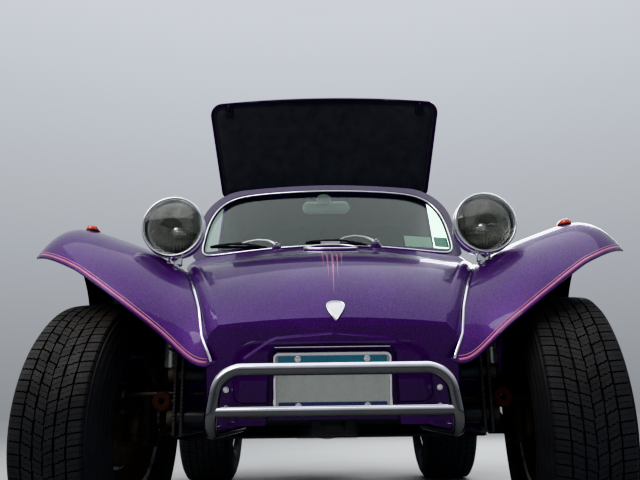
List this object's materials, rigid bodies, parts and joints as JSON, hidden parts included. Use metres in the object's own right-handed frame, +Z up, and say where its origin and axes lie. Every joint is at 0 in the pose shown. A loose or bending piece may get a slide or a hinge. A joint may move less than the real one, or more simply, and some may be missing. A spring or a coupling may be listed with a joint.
{
  "type": "dune buggy",
  "caption": "Open fibreglass dune buggy with separate fenders, raised roof hatch, steered front wheels and rear engine.",
  "frame": {"origin": "on the ground below the middle of the car's outline box", "axes": "+Z up, nose towards -Y, left-hand side of the car at +X"},
  "size_m": [1.752, 3.0079, 1.9203],
  "materials": {
    "floor_paint": "satin",
    "beam_paint": "satin",
    "arm_steel": "matte",
    "shock_paint": "gloss",
    "stop_rubber": "satin",
    "knuckle_left_steel": "matte",
    "knuckle_right_steel": "matte",
    "tie_rod_left_steel": "satin",
    "tie_rod_right_steel": "satin",
    "drop_arm_steel": "matte",
    "steering_box_iron": "matte",
    "rear_axle_paint": "satin",
    "rear_shock_paint": "gloss",
    "gearbox_alloy": "matte",
    "case_alloy": "matte",
    "barrel_iron": "matte",
    "shroud_chrome": "gloss",
    "generator_paint": "satin",
    "carburettor_alloy": "satin",
    "exhaust_chrome": "gloss",
    "nose_flake": "metalflake gloss",
    "tub_flake": "metalflake gloss",
    "dash_vinyl": "matte",
    "deck_flake": "metalflake gloss",
    "fender_front_left_flake": "metalflake gloss",
    "fender_front_right_flake": "metalflake gloss",
    "fender_rear_left_flake": "metalflake gloss",
    "fender_rear_right_flake": "metalflake gloss",
    "screen_frame_flake": "metalflake gloss",
    "screen_glass": "tinted",
    "hardtop_flake": "metalflake gloss",
    "rear_glass": "tinted",
    "hatch_flake": "metalflake gloss, dark lining below",
    "headlamp_chrome": "mirror gloss",
    "headlamp_glass": "fluted",
    "marker_amber": "gloss",
    "tail_red": "gloss",
    "front_bumper_chrome": "mirror gloss",
    "rear_bumper_chrome": "mirror gloss",
    "plate_paint": "satin",
    "seat_left_vinyl": "matte",
    "seat_right_vinyl": "matte",
    "steering_wheel_rim": "satin",
    "column_paint": "satin",
    "wiper_steel": "satin",
    "mirror_shell": "satin",
    "lever_steel": "gloss",
    "wheel_front_left_alloy": "polished",
    "tyre_front_left_rubber": "matte",
    "wheel_front_right_alloy": "polished",
    "tyre_front_right_rubber": "matte",
    "wheel_rear_left_alloy": "polished",
    "tyre_rear_left_rubber": "matte",
    "wheel_rear_right_alloy": "polished",
    "tyre_rear_right_rubber": "matte"
  },
  "bodies": {
    "body": {"floor_pan": "floor_paint", "front_beam": "beam_paint", "front_arms": "arm_steel", "front_shocks": "shock_paint", "bump_stops": "stop_rubber", "steering_box": "steering_box_iron", "rear_axle": "rear_axle_paint", "rear_shocks": "rear_shock_paint", "transaxle": "gearbox_alloy", "engine_case": "case_alloy", "cylinder_banks": "barrel_iron", "fan_shroud": "shroud_chrome", "generator": "generator_paint", "carburettor": "carburettor_alloy", "exhaust": "exhaust_chrome", "nose_shell": "nose_flake", "cockpit_tub": "tub_flake", "dashboard": "dash_vinyl", "rear_deck": "deck_flake", "fender_front_left": "fender_front_left_flake", "fender_front_right": "fender_front_right_flake", "fender_rear_left": "fender_rear_left_flake", "fender_rear_right": "fender_rear_right_flake", "windshield_frame": "screen_frame_flake", "windshield_glass": "screen_glass", "hardtop_rear": "hardtop_flake", "rear_window": "rear_glass", "headlamp_shells": "headlamp_chrome", "headlamp_lenses": "headlamp_glass", "marker_lamps": "marker_amber", "tail_lamps": "tail_red", "front_bumper": "front_bumper_chrome", "rear_bumper": "rear_bumper_chrome", "number_plate": "plate_paint", "seat_left": "seat_left_vinyl", "seat_right": "seat_right_vinyl", "steering_column": "column_paint", "wipers": "wiper_steel", "mirror_inside": "mirror_shell", "levers": "lever_steel"},
    "roof_hatch": {"roof_hatch": "hatch_flake"},
    "knuckle_left": {"knuckle_left": "knuckle_left_steel"},
    "knuckle_right": {"knuckle_right": "knuckle_right_steel"},
    "drop_arm": {"drop_arm": "drop_arm_steel"},
    "tie_rod_left": {"tie_rod_left": "tie_rod_left_steel"},
    "tie_rod_right": {"tie_rod_right": "tie_rod_right_steel"},
    "steering_wheel": {"steering_wheel": "steering_wheel_rim"},
    "wheel_front_left": {"wheel_front_left": "wheel_front_left_alloy", "tyre_front_left": "tyre_front_left_rubber"},
    "wheel_front_right": {"wheel_front_right": "wheel_front_right_alloy", "tyre_front_right": "tyre_front_right_rubber"},
    "wheel_rear_left": {"wheel_rear_left": "wheel_rear_left_alloy", "tyre_rear_left": "tyre_rear_left_rubber"},
    "wheel_rear_right": {"wheel_rear_right": "wheel_rear_right_alloy", "tyre_rear_right": "tyre_rear_right_rubber"}
  },
  "joints": [
    {"name": "steer_left", "type": "hinge", "parent": "body", "child": "knuckle_left", "pos_m": [0.59, -1.02, 0.362], "axis": [0, 0, 1], "range_deg": [-21.5, 34.5]},
    {"name": "steer_right", "type": "hinge", "parent": "body", "child": "knuckle_right", "pos_m": [-0.59, -1.02, 0.362], "axis": [0, 0, 1], "range_deg": [-21.5, 34.5]},
    {"name": "drop_arm_swing", "type": "hinge", "parent": "body", "child": "drop_arm", "pos_m": [0.15, -1.02, 0.476], "axis": [0, 0, 1], "range_deg": [-21.5, 34.5]},
    {"name": "tie_rod_left_pin", "type": "hinge", "parent": "drop_arm", "child": "tie_rod_left", "pos_m": [0.13811, -1.12433, 0.424], "axis": [0, 0, 1], "range_deg": [-34.5, 21.5]},
    {"name": "tie_rod_right_pin", "type": "hinge", "parent": "drop_arm", "child": "tie_rod_right", "pos_m": [0.13811, -1.12433, 0.448], "axis": [0, 0, 1], "range_deg": [-34.5, 21.5]},
    {"name": "steering_wheel_turn", "type": "hinge", "parent": "body", "child": "steering_wheel", "pos_m": [0.3, -0.165, 0.88], "axis": [0.145, 0.9312, 0.3345], "range_deg": [-301.5, 483.5]},
    {"name": "spin_front_left", "type": "hinge", "parent": "knuckle_left", "child": "wheel_front_left", "pos_m": [0.67545, -1.02974, 0.362], "axis": [0.9936, -0.1132, 0], "continuous": true},
    {"name": "spin_front_right", "type": "hinge", "parent": "knuckle_right", "child": "wheel_front_right", "pos_m": [-0.67545, -1.01026, 0.362], "axis": [0.9936, -0.1132, 0], "continuous": true},
    {"name": "spin_rear_left", "type": "hinge", "parent": "body", "child": "wheel_rear_left", "pos_m": [0.69, 1.02, 0.375], "axis": [1, 0, 0], "continuous": true},
    {"name": "spin_rear_right", "type": "hinge", "parent": "body", "child": "wheel_rear_right", "pos_m": [-0.69, 1.02, 0.375], "axis": [1, 0, 0], "continuous": true},
    {"name": "hatch_hinge", "type": "hinge", "parent": "body", "child": "roof_hatch", "pos_m": [0, 0.224, 1.497], "axis": [1, 0, 0], "range_deg": [0, 66.1]}
  ],
  "couplings": [
    {"joint": "steer_right", "follows": "steer_left", "ratio": 1},
    {"joint": "drop_arm_swing", "follows": "steer_left", "ratio": 1},
    {"joint": "tie_rod_left_pin", "follows": "steer_left", "ratio": -1},
    {"joint": "tie_rod_right_pin", "follows": "steer_left", "ratio": -1},
    {"joint": "steering_wheel_turn", "follows": "steer_left", "ratio": 14}
  ]
}
